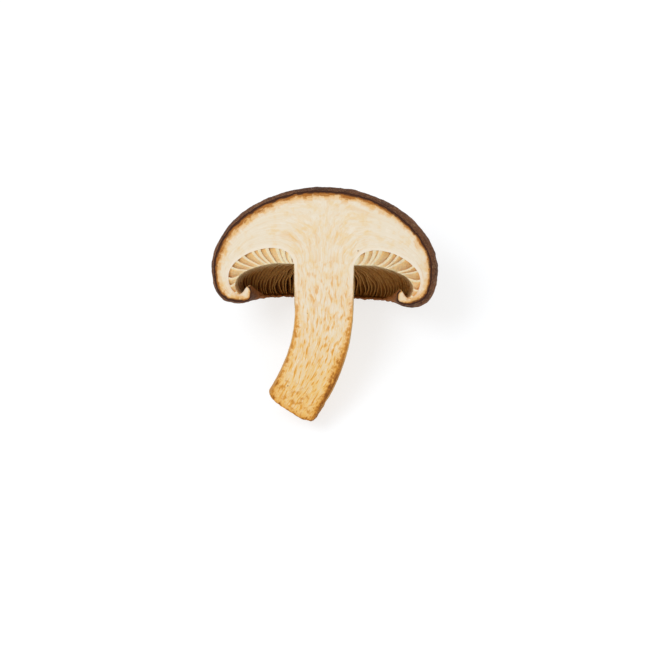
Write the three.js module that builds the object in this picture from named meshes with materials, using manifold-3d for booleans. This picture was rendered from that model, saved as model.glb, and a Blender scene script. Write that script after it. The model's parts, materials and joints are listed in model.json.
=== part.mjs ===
// A shiitake mushroom cut in half from cap to stem, lying on its back with the cut face up.
// Millimetres, +Z up, the floor at z = 0 and the origin under the middle of the half.
//
// The half is first built upright in its own frame: x across the cut face, y up the stem towards
// the crown of the cap, z out of the cut face, with the cut at z = 0 and y = 0 at the widest level
// of the cap. It is then laid on the back of its cap and the heel of its stem.

import * as THREE from 'three';
import * as BufferGeometryUtils from 'three/addons/utils/BufferGeometryUtils.js';
import Module from 'manifold-3d';

// Cap.
const CAP_RADIUS = 27.3; // widest level, across the cut
const CAP_RISE = 20.2; // widest level up to the crown
const BACK_SHALLOWER = 2.6; // how much less the cap reaches backwards than sideways
const SIDE_BULGE = 0.7; // swelling of the right side behind the cut
const SIDE_BULGE_AT_DEG = 26;
const SIDE_BULGE_SPREAD_DEG = 23;
const CUT_EDGE_DRAWN_IN = 0.6; // how far the cap has drawn in around the cut
const DRAWN_IN_DEPTH = 3.0; // depth over which it draws in
const CAP_LEAN_DEG = 1.3; // the right side of the cap hangs lower
const DOME_FULLNESS = 0.535; // Bezier handle over side; 0.552 would be a circular arc

// Margin of the cap. "In" is measured inwards from the edge, "below" down from the widest level.
const ROLLED_MARGIN = {
  bottomIn: 6.5, // where the underside is lowest
  bottomBelow: 9.0,
  lipIn: 10.5, // where the margin ends
  lipTopIn: 9.5,
  lipTopBelow: 4.5,
  troughIn: 7.4, // lowest point of the trough between the lip and the wall
  troughBelow: 6.4,
};
const OPEN_MARGIN = {
  bottomIn: 5.4,
  bottomBelow: 8.4,
  lipIn: 8.2,
  lipTopIn: 7.4,
  lipTopBelow: 6.9,
  troughIn: 6.9,
  troughBelow: 6.9,
};
const ROLLED_UNTIL_DEG = 8; // the margin is rolled near the cut and opens towards the back
const OPEN_FROM_DEG = 48;

// Gill chamber.
const WALL_FLESH = 4.9; // flesh between the side of the cap and the gills
const BED_RISE = 5.0; // widest level up to the ceiling that the gills grow from
const CEILING_FROM_STEM = 4.4; // where the ceiling is highest
const STEM_FILLET = 4.0; // height over which the ceiling comes down to the stem
const GILL_COUNT = 36;
const GILL_THICKNESS = 0.8;
const GILL_DEPTH = 3.6; // ceiling down to the free edge of a gill
const WALL_GILL_DEPTH = 1.6; // the same on the side wall, where gills are shallower
const GILL_AIM = 12; // gills beside the cut run towards a point this far in front of it
const GILL_ROOT = 1.0; // how deep a gill is rooted in the flesh

// Stem.
const STEM_TOP_RADIUS = 7.2;
const STEM_HEEL_RADIUS = 6.5;
const STEM_AXIS_BEHIND_CUT = 1.2;
const STEM_BELOW = 32.8; // widest level down to the middle of the heel
const STEM_SWING = 7.6; // how far the heel swings to the left
const STEM_STRAIGHT_TO = 9.0; // widest level down to the start of the bend
const STEM_BEND_BELOW = 20.5; // widest level down to the corner that the bend rounds
const STEM_INTO_CAP = 9.0; // how far the stem's core rises into the cap
const HEEL_DOME = 2.0; // the heel is slightly convex
const HEEL_BACK = 1.0; // how far the heel drops behind the line of the stem

// Facets.
const AROUND_CAP = 48;
const AROUND_STEM = 24;
const ALONG_STEM = 12;
const FACET = 2.6; // longest facet along the cap's section
const GILL_CURVE_FACETS = 3;

const wasm = await Module();
wasm.setup();

/** Turns a closed three.js geometry into a solid that can be joined and cut. */
function toSolid(geometry) {
  const bare = geometry.index ? geometry.toNonIndexed() : geometry.clone();
  bare.deleteAttribute('normal');
  bare.deleteAttribute('uv');
  const merged = BufferGeometryUtils.mergeVertices(bare, 1e-5);
  const mesh = new wasm.Mesh({
    numProp: 3,
    vertProperties: new Float32Array(merged.attributes.position.array),
    triVerts: new Uint32Array(wholeTriangles(merged.index.array)),
  });
  return new wasm.Manifold(mesh);
}

/** The triangles of an index list that have three different corners. */
function wholeTriangles(index) {
  const kept = [];
  for (let i = 0; i < index.length; i += 3) {
    const [a, b, c] = [index[i], index[i + 1], index[i + 2]];
    if (a !== b && b !== c && c !== a) kept.push(a, b, c);
  }
  return kept;
}

/** Turns a solid back into a three.js geometry. */
function toGeometry(solid) {
  const mesh = solid.getMesh();
  const geometry = new THREE.BufferGeometry();
  geometry.setAttribute('position', new THREE.BufferAttribute(mesh.vertProperties, 3));
  geometry.setIndex(new THREE.BufferAttribute(mesh.triVerts, 1));
  return geometry;
}

/** Moves every vertex of a geometry with a function that changes a THREE.Vector3. */
function reshape(geometry, move) {
  const position = geometry.attributes.position;
  const point = new THREE.Vector3();
  for (let i = 0; i < position.count; i += 1) {
    point.fromBufferAttribute(position, i);
    move(point, i);
    position.setXYZ(i, point.x, point.y, point.z);
  }
  return geometry;
}

/** How far the edge of the cap lies from the stem's middle, by direction round the cap. */
function edgeAt(azimuth) {
  const backwards = Math.max(0, Math.sin(azimuth)) ** 2;
  const offBulge = THREE.MathUtils.radToDeg(azimuth) - SIDE_BULGE_AT_DEG;
  const bulge = Math.exp(-((offBulge / SIDE_BULGE_SPREAD_DEG) ** 2));
  return CAP_RADIUS + SIDE_BULGE * bulge - BACK_SHALLOWER * backwards;
}

/** The margin's measures in a direction: rolled beside the cut and open at the back. */
function marginAt(azimuth) {
  const behind = THREE.MathUtils.radToDeg(Math.asin(Math.max(0, Math.sin(azimuth))));
  const open = THREE.MathUtils.smoothstep(behind, ROLLED_UNTIL_DEG, OPEN_FROM_DEG);
  const margin = {};
  for (const name of Object.keys(ROLLED_MARGIN)) {
    margin[name] = THREE.MathUtils.lerp(ROLLED_MARGIN[name], OPEN_MARGIN[name], open);
  }
  return margin;
}

/** Section of the cap in one direction, from its crown over the margin to the gill ceiling. */
function capOutline(azimuth) {
  const edge = edgeAt(azimuth);
  const margin = marginAt(azimuth);
  const inner = edge - WALL_FLESH;
  const ceilingAt = STEM_TOP_RADIUS + CEILING_FROM_STEM;
  const bottomIn = edge - margin.bottomIn;
  const lip = edge - margin.lipIn;
  const lipTop = edge - margin.lipTopIn;
  const lipSide = -(margin.lipTopBelow + margin.bottomBelow) / 2;
  const trough = edge - margin.troughIn;
  const outline = new THREE.Path();
  outline.moveTo(0, CAP_RISE);
  outline.bezierCurveTo(DOME_FULLNESS * edge, CAP_RISE, edge, DOME_FULLNESS * CAP_RISE, edge, 0);
  outline.bezierCurveTo(edge, -0.7 * margin.bottomBelow, edge - 0.4 * margin.bottomIn,
    -margin.bottomBelow, bottomIn, -margin.bottomBelow);
  outline.bezierCurveTo((bottomIn + lip) / 2, -margin.bottomBelow,
    lip, (lipSide - margin.bottomBelow) / 2, lip, lipSide);
  outline.bezierCurveTo(lip, (lipSide - margin.lipTopBelow) / 2,
    (lip + lipTop) / 2, -margin.lipTopBelow, lipTop, -margin.lipTopBelow);
  outline.bezierCurveTo((2 * lipTop + trough) / 3, -margin.lipTopBelow,
    (lipTop + 2 * trough) / 3, -margin.troughBelow, trough, -margin.troughBelow);
  outline.bezierCurveTo((trough + inner) / 2, -margin.troughBelow,
    inner, -0.7 * margin.troughBelow, inner, -0.3 * margin.troughBelow);
  outline.bezierCurveTo(inner, 0.3 * BED_RISE, (ceilingAt + inner) / 2, BED_RISE, ceilingAt, BED_RISE);
  outline.bezierCurveTo((STEM_TOP_RADIUS + ceilingAt) / 2, BED_RISE,
    STEM_TOP_RADIUS, BED_RISE - 0.3 * STEM_FILLET, STEM_TOP_RADIUS - 0.3, BED_RISE - STEM_FILLET);
  outline.lineTo(0, BED_RISE - STEM_FILLET);
  return outline;
}

/** How many facets each curve of the cap's section is divided into. */
function facetsPerCurve() {
  return capOutline(0).curves.map((curve) => Math.max(3, Math.ceil(curve.getLength() / FACET)));
}

/** Points of the cap's section in one direction, listed from the ceiling round to the crown. */
function capSection(azimuth, facets) {
  const outline = capOutline(azimuth);
  const points = [outline.curves[0].getPoint(0)];
  outline.curves.forEach((curve, i) => points.push(...curve.getPoints(facets[i]).slice(1)));
  return points.reverse();
}

/** The whole cap: turned about the stem, each direction then given its own section. */
function capGeometry() {
  const facets = facetsPerCurve();
  const pointCount = capSection(0, facets).length;
  const halfFacet = Math.PI / AROUND_CAP;
  const cap = new THREE.LatheGeometry(capSection(0, facets), AROUND_CAP, halfFacet);
  reshape(cap, (point, i) => {
    const column = Math.floor(i / pointCount) % AROUND_CAP;
    const turn = halfFacet + (column / AROUND_CAP) * 2 * Math.PI;
    const azimuth = Math.atan2(-Math.cos(turn), Math.sin(turn));
    const own = capSection(azimuth, facets)[i % pointCount];
    point.set(own.x * Math.cos(azimuth), own.y, -own.x * Math.sin(azimuth));
  });
  return cap.rotateZ(-THREE.MathUtils.degToRad(CAP_LEAN_DEG));
}

/** Outline of one gill in the upright plane it grows in, x measured from the stem's middle. */
function gillOutline(azimuth) {
  const edge = edgeAt(azimuth);
  const margin = marginAt(azimuth);
  const inside = STEM_TOP_RADIUS - 2;
  const ceilingAt = STEM_TOP_RADIUS + CEILING_FROM_STEM;
  const rooted = BED_RISE + GILL_ROOT;
  const wall = edge - WALL_FLESH + GILL_ROOT;
  const freeCeiling = BED_RISE - GILL_DEPTH;
  const freeWall = edge - WALL_FLESH - WALL_GILL_DEPTH;
  const trough = edge - margin.troughIn;
  const shape = new THREE.Shape();
  shape.moveTo(inside, freeCeiling);
  shape.lineTo(ceilingAt, freeCeiling);
  shape.bezierCurveTo((ceilingAt + freeWall) / 2, freeCeiling,
    freeWall, -0.2 * margin.troughBelow, freeWall, -0.7 * margin.troughBelow);
  shape.quadraticCurveTo(freeWall, -margin.troughBelow, trough, -margin.troughBelow);
  shape.lineTo(trough + GILL_ROOT, -margin.troughBelow - 0.6 * GILL_ROOT);
  shape.quadraticCurveTo(wall, -margin.troughBelow, wall, -0.3 * margin.troughBelow);
  shape.bezierCurveTo(wall, 0.5 * BED_RISE, (ceilingAt + wall) / 2, rooted, ceilingAt, rooted);
  shape.lineTo(inside, rooted);
  shape.closePath();
  return shape;
}

/** One gill, standing in the plane that runs from the margin to the point the gills aim at. */
function gillGeometry(azimuth) {
  const extrusion = { depth: GILL_THICKNESS, bevelEnabled: false, curveSegments: GILL_CURVE_FACETS };
  const gill = new THREE.ExtrudeGeometry(gillOutline(azimuth), extrusion);
  const edge = edgeAt(azimuth);
  const foot = new THREE.Vector3(edge * Math.cos(azimuth), 0, -edge * Math.sin(azimuth));
  const aim = new THREE.Vector3(0, 0, GILL_AIM * Math.cos(azimuth) ** 4);
  const outwards = foot.clone().sub(aim);
  gill.translate(-edge, 0, -GILL_THICKNESS / 2);
  gill.rotateY(Math.atan2(-outwards.z, outwards.x));
  gill.translate(foot.x, 0, foot.z);
  return gill.rotateZ(-THREE.MathUtils.degToRad(CAP_LEAN_DEG));
}

/** The line through the middle of the stem, from inside the cap to the heel. */
function stemLine() {
  const back = -STEM_AXIS_BEHIND_CUT;
  const bend = new THREE.QuadraticBezierCurve3(
    new THREE.Vector3(0, -STEM_STRAIGHT_TO, back),
    new THREE.Vector3(0, -STEM_BEND_BELOW, back),
    new THREE.Vector3(-STEM_SWING, -STEM_BELOW, back - HEEL_BACK),
  );
  const line = new THREE.CurvePath();
  line.add(new THREE.LineCurve3(new THREE.Vector3(0, STEM_INTO_CAP, back), bend.v0));
  line.add(bend);
  return line;
}

/** Carries a point from a straight bar along y onto a bent line. */
function bendAlong(line, length, point) {
  const along = Math.min(point.y, length);
  const middle = line.getPointAt(along / length);
  const ahead = line.getTangentAt(along / length);
  const side = new THREE.Vector3(-ahead.y, ahead.x, 0).normalize();
  middle.addScaledVector(side, point.x);
  middle.addScaledVector(ahead, point.y - along);
  middle.z += point.z;
  point.copy(middle);
}

/** The stem: a tapering round bar with a convex heel, bent along its line. */
function stemGeometry() {
  const line = stemLine();
  const length = line.getLength();
  const section = [new THREE.Vector2(0, length + HEEL_DOME)];
  section.push(new THREE.Vector2(0.82 * STEM_HEEL_RADIUS, length + 0.7 * HEEL_DOME));
  for (let i = ALONG_STEM; i >= 0; i -= 1) {
    const along = i / ALONG_STEM;
    const radius = THREE.MathUtils.lerp(STEM_TOP_RADIUS, STEM_HEEL_RADIUS, along);
    section.push(new THREE.Vector2(radius, along * length));
  }
  section.push(new THREE.Vector2(0, 0));
  const stem = new THREE.LatheGeometry(section, AROUND_STEM, Math.PI / AROUND_STEM);
  return reshape(stem, (point) => bendAlong(line, length, point));
}

/** Everything in front of the cut. */
function frontBlock() {
  const size = 4 * CAP_RADIUS + STEM_BELOW;
  return new THREE.BoxGeometry(2 * size, 2 * size, size).translate(0, 0, size / 2);
}

/** The half as it grew, still upright, with its cut face at z = 0. */
function uprightHalf() {
  let whole = toSolid(capGeometry()).add(toSolid(stemGeometry()));
  for (let i = 0; i < GILL_COUNT; i += 1) {
    const azimuth = ((i + 0.5) / GILL_COUNT) * Math.PI;
    whole = whole.add(toSolid(gillGeometry(azimuth)));
  }
  const half = toGeometry(whole.subtract(toSolid(frontBlock())));
  return reshape(half, (point) => {
    const drawn = (CUT_EDGE_DRAWN_IN / CAP_RADIUS) * Math.exp(point.z / DRAWN_IN_DEPTH);
    point.x *= 1 - drawn;
    point.y *= 1 - drawn;
  });
}

/** The lowest of some points once they are tipped about the x axis. */
function lowest(points, tip) {
  const height = (point) => point.y * Math.sin(tip) + point.z * Math.cos(tip);
  return points.reduce((low, point) => (height(point) < height(low) ? point : low));
}

/** How far the upright half tips about x to lie on both the back of its cap and its heel. */
function restingTip(half) {
  const position = half.attributes.position;
  const points = Array.from({ length: position.count },
    (_, i) => new THREE.Vector3().fromBufferAttribute(position, i));
  const split = -(ROLLED_MARGIN.bottomBelow + STEM_BELOW) / 2;
  const capPoints = points.filter((point) => point.y > split);
  const heelPoints = points.filter((point) => point.y <= split);
  let tip = 0;
  for (let i = 0; i < 12; i += 1) {
    const cap = lowest(capPoints, tip);
    const heel = lowest(heelPoints, tip);
    tip = Math.atan2(heel.z - cap.z, cap.y - heel.y);
  }
  return tip;
}

/** The half laid on the floor, with the origin under the middle of its box. */
function laidDown() {
  const half = uprightHalf();
  half.rotateX(restingTip(half));
  half.computeBoundingBox();
  const box = half.boundingBox;
  return half.translate(-(box.min.x + box.max.x) / 2, -(box.min.y + box.max.y) / 2, -box.min.z);
}

const flesh = new THREE.MeshStandardMaterial({ color: 0xe8dbc2, roughness: 0.75, metalness: 0 });
const mushroomHalf = new THREE.Mesh(laidDown(), flesh);
mushroomHalf.name = 'mushroom_half';

const part = new THREE.Group();
part.add(mushroomHalf);

export default part;
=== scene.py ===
"""A halved shiitake mushroom lying cut face up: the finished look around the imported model.

The half is modelled upright, in millimetres, in the frame of its cut face: x across the cut, y up
the stem towards the crown of the cap, z out of the cut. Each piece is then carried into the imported
model's frame, in metres, by the place of the cut face that the record gives.
"""

import json
import logging
import math
from dataclasses import dataclass, field, fields
from enum import Enum
from typing import Any, Callable, Iterable

import bpy
import numpy as np
from mathutils import Matrix, Vector, noise
from mathutils.kdtree import KDTree

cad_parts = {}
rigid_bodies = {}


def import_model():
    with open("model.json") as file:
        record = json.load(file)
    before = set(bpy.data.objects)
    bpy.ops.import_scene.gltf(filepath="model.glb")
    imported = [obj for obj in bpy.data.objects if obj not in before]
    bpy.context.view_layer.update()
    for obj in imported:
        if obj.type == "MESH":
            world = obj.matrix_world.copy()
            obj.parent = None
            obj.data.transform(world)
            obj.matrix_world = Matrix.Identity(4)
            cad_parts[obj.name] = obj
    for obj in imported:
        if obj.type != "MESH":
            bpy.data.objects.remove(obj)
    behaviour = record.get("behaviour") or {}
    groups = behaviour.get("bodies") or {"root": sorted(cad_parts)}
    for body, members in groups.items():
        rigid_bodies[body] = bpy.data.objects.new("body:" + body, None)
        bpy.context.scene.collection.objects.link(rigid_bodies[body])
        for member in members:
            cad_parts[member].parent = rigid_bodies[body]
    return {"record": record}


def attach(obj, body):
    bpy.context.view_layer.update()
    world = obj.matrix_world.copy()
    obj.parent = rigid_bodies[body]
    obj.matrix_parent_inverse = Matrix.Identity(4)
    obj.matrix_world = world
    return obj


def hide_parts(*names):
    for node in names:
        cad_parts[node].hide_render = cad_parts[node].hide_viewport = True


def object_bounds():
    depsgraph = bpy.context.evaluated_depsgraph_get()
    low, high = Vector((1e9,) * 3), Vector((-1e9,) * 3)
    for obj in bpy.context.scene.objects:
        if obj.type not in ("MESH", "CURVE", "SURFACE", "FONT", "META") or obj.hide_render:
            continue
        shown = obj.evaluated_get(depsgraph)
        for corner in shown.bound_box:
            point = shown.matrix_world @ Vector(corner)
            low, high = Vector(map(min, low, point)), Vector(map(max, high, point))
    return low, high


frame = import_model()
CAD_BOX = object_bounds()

log = logging.getLogger("shiitake")

MM = 0.001
NODE = "mushroom_half"
BODY = "root"

# Sockets of a Mix node that is set to mix colours.
MIX_SHARE, MIX_FIRST, MIX_SECOND, MIX_COLOUR = 0, 6, 7, 2


# --------------------------------------------------------------------------- shapes in numbers


def smoothstep(value: np.ndarray | float, low: float, high: float) -> np.ndarray | float:
    """Eases from 0 at low to 1 at high.

    Args:
        value: One number or an array of them.
        low: Where the step starts.
        high: Where the step ends.

    Returns:
        The eased share, of the same shape as value.
    """
    share = np.clip((value - low) / (high - low), 0.0, 1.0)
    return share * share * (3.0 - 2.0 * share)


def bezier(controls: Iterable[tuple[float, float]], count: int) -> np.ndarray:
    """Samples a Bezier curve of any degree evenly in its parameter.

    Args:
        controls: Control points, first and last included.
        count: Number of steps, so one more point than this comes back.

    Returns:
        Points as rows.
    """
    points = np.array(list(controls), float)
    degree = len(points) - 1
    t = np.linspace(0.0, 1.0, count + 1)[:, None]
    total = np.zeros((count + 1, points.shape[1]))
    for i, point in enumerate(points):
        total += math.comb(degree, i) * t**i * (1 - t) ** (degree - i) * point
    return total


def arc_lengths(points: np.ndarray) -> np.ndarray:
    """Distance along a polyline at each of its points."""
    steps = np.linalg.norm(np.diff(points, axis=0), axis=1)
    return np.concatenate([[0.0], np.cumsum(steps)])


def nearest_on(line: np.ndarray, points: np.ndarray) -> tuple[np.ndarray, np.ndarray]:
    """Finds the nearest sample of a finely sampled line for each point.

    Args:
        line: Samples of the line, as rows.
        points: Points to look from, as rows.

    Returns:
        The distance to the line and the index of the nearest sample, for each point.
    """
    tree = KDTree(len(line))
    width = line.shape[1]
    for i, sample in enumerate(line):
        tree.insert((*sample, 0.0) if width == 2 else sample, i)
    tree.balance()
    found = [tree.find((*point, 0.0) if width == 2 else point) for point in points.tolist()]
    return np.array([f[2] for f in found]), np.array([f[1] for f in found], int)


@dataclass(frozen=True)
class Margin:
    """The margin of the cap in one direction: "in" from the edge, "below" the widest level."""

    bottom_in: float
    bottom_below: float
    lip_in: float
    lip_top_in: float
    lip_top_below: float
    trough_in: float
    trough_below: float

    def towards(self, other: "Margin", share: float) -> "Margin":
        """Blends this margin with another.

        Args:
            other: The margin at share 1.
            share: 0 for this margin, 1 for the other.

        Returns:
            The blended margin.
        """
        names = [item.name for item in fields(self)]
        pairs = [(getattr(self, name), getattr(other, name)) for name in names]
        return Margin(*[a + (b - a) * share for a, b in pairs])


@dataclass(frozen=True)
class CapShape:
    """Sizes of the cap, in millimetres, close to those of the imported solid."""

    radius: float = 27.3
    rise: float = 20.2
    back_shallower: float = 2.6
    side_bulge: float = 0.7
    side_bulge_at: float = 26.0
    side_bulge_spread: float = 23.0
    lean_degrees: float = 1.3
    dome_fullness: float = 0.535
    rolled: Margin = Margin(6.5, 9.0, 10.7, 9.6, 3.9, 7.5, 6.0)
    opened: Margin = Margin(5.4, 8.4, 8.2, 7.4, 6.9, 6.9, 6.9)
    rolled_until: float = 8.0
    open_from: float = 48.0
    wall_flesh: float = 4.9
    bed_rise: float = 5.0
    ceiling_from_stem: float = 4.4
    stem_fillet: float = 4.0
    stem_radius: float = 7.5
    samples: tuple[int, ...] = (64, 20, 14, 8, 14, 14, 30, 18, 8)
    skin_curves: int = 4

    def edge(self, azimuth: float) -> float:
        """Distance from the stem's middle to the edge of the cap in a direction, in radians."""
        backwards = max(0.0, math.sin(azimuth)) ** 2
        off_bulge = math.degrees(azimuth) - self.side_bulge_at
        bulge = math.exp(-((off_bulge / self.side_bulge_spread) ** 2))
        return self.radius + self.side_bulge * bulge - self.back_shallower * backwards

    def margin(self, azimuth: float) -> Margin:
        """The margin in a direction: rolled in beside the cut and open at the back."""
        behind = math.degrees(math.asin(max(0.0, min(1.0, math.sin(azimuth)))))
        share = float(smoothstep(behind, self.rolled_until, self.open_from))
        return self.rolled.towards(self.opened, share)

    def curves(self, azimuth: float) -> list[list[tuple[float, float]]]:
        """Control points of the cap's section in one direction, crown first.

        Args:
            azimuth: Direction round the stem, in radians; 0 is right and a quarter turn is back.

        Returns:
            One list of (distance from the stem's middle, height) control points per curve.
        """
        edge = self.edge(azimuth)
        m = self.margin(azimuth)
        inner = edge - self.wall_flesh
        ceiling = self.stem_radius + self.ceiling_from_stem
        bottom, lip, lip_top = edge - m.bottom_in, edge - m.lip_in, edge - m.lip_top_in
        lip_side = -(m.lip_top_below + m.bottom_below) / 2
        trough = edge - m.trough_in
        full = self.dome_fullness
        low = self.bed_rise - self.stem_fillet
        corners = [(0.0, self.rise), (edge, 0.0), (bottom, -m.bottom_below), (lip, lip_side)]
        corners += [(lip_top, -m.lip_top_below), (trough, -m.trough_below)]
        corners += [(inner, -0.3 * m.trough_below), (ceiling, self.bed_rise)]
        corners += [(self.stem_radius - 0.3, low), (0.0, low)]
        handles = [
            [(full * edge, self.rise), (edge, full * self.rise)],
            [(edge, -0.7 * m.bottom_below), (edge - 0.4 * m.bottom_in, -m.bottom_below)],
            [((bottom + lip) / 2, -m.bottom_below), (lip, (lip_side - m.bottom_below) / 2)],
            [(lip, (lip_side - m.lip_top_below) / 2), ((lip + lip_top) / 2, -m.lip_top_below)],
            [((2 * lip_top + trough) / 3, -m.lip_top_below), ((lip_top + 2 * trough) / 3, -m.trough_below)],
            [((trough + inner) / 2, -m.trough_below), (inner, -0.7 * m.trough_below)],
            [(inner, 0.3 * self.bed_rise), ((ceiling + inner) / 2, self.bed_rise)],
            [
                ((self.stem_radius + ceiling) / 2, self.bed_rise),
                (self.stem_radius, self.bed_rise - 0.3 * self.stem_fillet),
            ],
            [],
        ]
        return [[corners[i], *handles[i], corners[i + 1]] for i in range(len(handles))]

    def section(self, azimuth: float, first: int = 0, last: int = 9) -> np.ndarray:
        """Samples the section from one curve up to another, crown first.

        Args:
            azimuth: Direction round the stem, in radians.
            first: First curve to include.
            last: Curve to stop before.

        Returns:
            Points as rows of (distance from the stem's middle, height).
        """
        parts = []
        for i, controls in enumerate(self.curves(azimuth)[first:last], start=first):
            run = bezier(controls, self.samples[i])
            parts.append(run if not parts else run[1:])
        return np.concatenate(parts)

    def lean(self, points: np.ndarray, undo: bool = False) -> np.ndarray:
        """Leans points with the cap, or straightens them.

        Args:
            points: Rows of x, y and z.
            undo: True to take the lean out.

        Returns:
            The turned points.
        """
        angle = math.radians(self.lean_degrees) * (-1 if undo else 1)
        c, s = math.cos(angle), math.sin(angle)
        x, y, z = points.T
        return np.stack([c * x + s * y, c * y - s * x, z], axis=1)


@dataclass(frozen=True)
class StemShape:
    """Sizes of the stem, in millimetres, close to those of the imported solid."""

    top_radius: float = 7.55
    heel_radius: float = 6.7
    behind_cut: float = 1.2
    below: float = 32.1
    swing: float = 7.6
    straight_to: float = 9.0
    bend_below: float = 20.5
    into_cap: float = 9.0
    heel_dome: float = 2.0
    heel_back: float = 1.0

    def line(self, beyond: float = 0.0) -> np.ndarray:
        """Samples the line through the middle of the stem.

        Args:
            beyond: How far the line goes straight on past the heel.

        Returns:
            Points as rows, top first.
        """
        back = -self.behind_cut
        straight = bezier([(0, self.into_cap, back), (0, -self.straight_to, back)], 240)
        heel = (-self.swing, -self.below, back - self.heel_back)
        bend = bezier([(0, -self.straight_to, back), (0, -self.bend_below, back), heel], 360)
        ahead = (bend[-1] - bend[-2]) / np.linalg.norm(bend[-1] - bend[-2])
        more = bend[-1] + np.arange(0.1, beyond, 0.1)[:, None] * ahead
        return np.concatenate([straight, bend[1:], more])

    def radius(self, share: np.ndarray) -> np.ndarray:
        """Radius at a share of the way from the top of the core to the heel."""
        return self.top_radius + (self.heel_radius - self.top_radius) * share


@dataclass(frozen=True)
class DrawnEdge:
    """How far the skin has drawn in around the cut, in millimetres, less with depth behind it."""

    cap: float = 1.15
    right_more: float = 0.75
    stem: float = 0.25
    depth: float = 1.9

    def amount(self, points: np.ndarray, on_stem: np.ndarray, on_skin: np.ndarray) -> np.ndarray:
        """How far each point of the surface moves inwards.

        Args:
            points: Rows of x, y and z.
            on_stem: Share of each point that lies on the stem.
            on_skin: Share of each point that lies on the outer skin of the cap.

        Returns:
            Millimetres for each point.
        """
        near = np.exp(-np.abs(points[:, 2]) / self.depth)
        cap = self.cap + self.right_more * smoothstep(points[:, 0], 8.0, 25.0)
        return near * np.where(on_stem, self.stem, cap * on_skin)


@dataclass(frozen=True)
class Lumps:
    """One layer of unevenness, in millimetres: how deep it goes, how wide its lumps are, its pattern."""

    deep: float
    wide: float
    shift: float = 0.0

    def pressed(self, points: np.ndarray) -> np.ndarray:
        """How far each point is pressed in, from nothing to twice the depth."""
        return self.deep * (1 + np.clip(perlin(points, self.wide, self.shift), -1, 1))


@dataclass(frozen=True)
class Placement:
    """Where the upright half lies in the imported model's frame."""

    mount_height: float = 11.0

    def matrix(self) -> Matrix:
        """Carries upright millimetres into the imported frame's metres."""
        mount = frame["record"]["mounts"][0]
        out = Vector(mount["axis"]).normalized()
        across = Vector((1.0, 0.0, 0.0))
        up = out.cross(across).normalized()
        origin = Vector(mount["pos_m"]) - up * self.mount_height * MM
        turn = Matrix((across, up, out)).transposed().to_4x4()
        return Matrix.Translation(origin) @ turn @ Matrix.Scale(MM, 4)


# --------------------------------------------------------------------------- mesh tools


def deselect_all() -> None:
    """Leaves edit mode and selects nothing."""
    if bpy.context.object and bpy.context.object.mode != "OBJECT":
        bpy.ops.object.mode_set(mode="OBJECT")
    bpy.ops.object.select_all(action="DESELECT")


def only(piece: bpy.types.Object) -> None:
    """Selects one object alone and makes it active."""
    deselect_all()
    piece.select_set(True)
    bpy.context.view_layer.objects.active = piece


def coordinates(piece: bpy.types.Object) -> np.ndarray:
    """Vertex positions of a piece, as rows."""
    flat = np.empty(len(piece.data.vertices) * 3, np.float32)
    piece.data.vertices.foreach_get("co", flat)
    return flat.reshape(-1, 3).astype(float)


def move_to(piece: bpy.types.Object, points: np.ndarray) -> None:
    """Puts the vertices of a piece at new positions, given as rows."""
    piece.data.vertices.foreach_set("co", points.astype(np.float32).ravel())
    piece.data.update()


def wrapped_grid(
    name: str, rows: int, columns: int, place: Callable[[np.ndarray, np.ndarray], np.ndarray]
) -> bpy.types.Object:
    """Adds a flat grid and wraps it into a surface.

    Args:
        name: Name of the new object.
        rows: Faces along the first direction.
        columns: Faces along the second direction.
        place: Takes the row and column number of every vertex and returns their positions.

    Returns:
        The wrapped grid, its seams and poles merged.
    """
    deselect_all()
    bpy.ops.mesh.primitive_grid_add(x_subdivisions=rows, y_subdivisions=columns, size=2.0)
    grid = bpy.context.object
    grid.name = name
    flat = coordinates(grid)
    row = np.rint((flat[:, 0] + 1) / 2 * rows).astype(int)
    column = np.rint((flat[:, 1] + 1) / 2 * columns).astype(int)
    move_to(grid, place(row, column))
    bpy.ops.object.mode_set(mode="EDIT")
    bpy.ops.mesh.select_all(action="SELECT")
    bpy.ops.mesh.remove_doubles(threshold=1e-4)
    bpy.ops.mesh.normals_make_consistent(inside=False)
    bpy.ops.object.mode_set(mode="OBJECT")
    return grid


def write_attribute(piece: bpy.types.Object, name: str, values: np.ndarray) -> None:
    """Stores one number per vertex under a name that materials can read."""
    layer = piece.data.attributes.new(name, "FLOAT", "POINT")
    layer.data.foreach_set("value", values.astype(np.float32))


def perlin(points: np.ndarray, size: float, shift: float = 0.0) -> np.ndarray:
    """Smooth noise between about -1 and 1 at each point.

    Args:
        points: Rows of x, y and z.
        size: Distance over which the noise changes.
        shift: Moves the pattern, so that two calls differ.

    Returns:
        One number per point.
    """
    moved = points / size + shift
    return np.array([noise.noise(Vector(point)) for point in moved]) * 1.6


# --------------------------------------------------------------------------- shader expressions


def linear(code: str) -> tuple[float, float, float, float]:
    """Turns a hexadecimal screen colour into the linear colour that shaders take."""
    parts = [int(code[i : i + 2], 16) / 255 for i in (0, 2, 4)]
    lit = [p / 12.92 if p <= 0.04045 else ((p + 0.055) / 1.055) ** 2.4 for p in parts]
    return (lit[0], lit[1], lit[2], 1.0)


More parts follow.
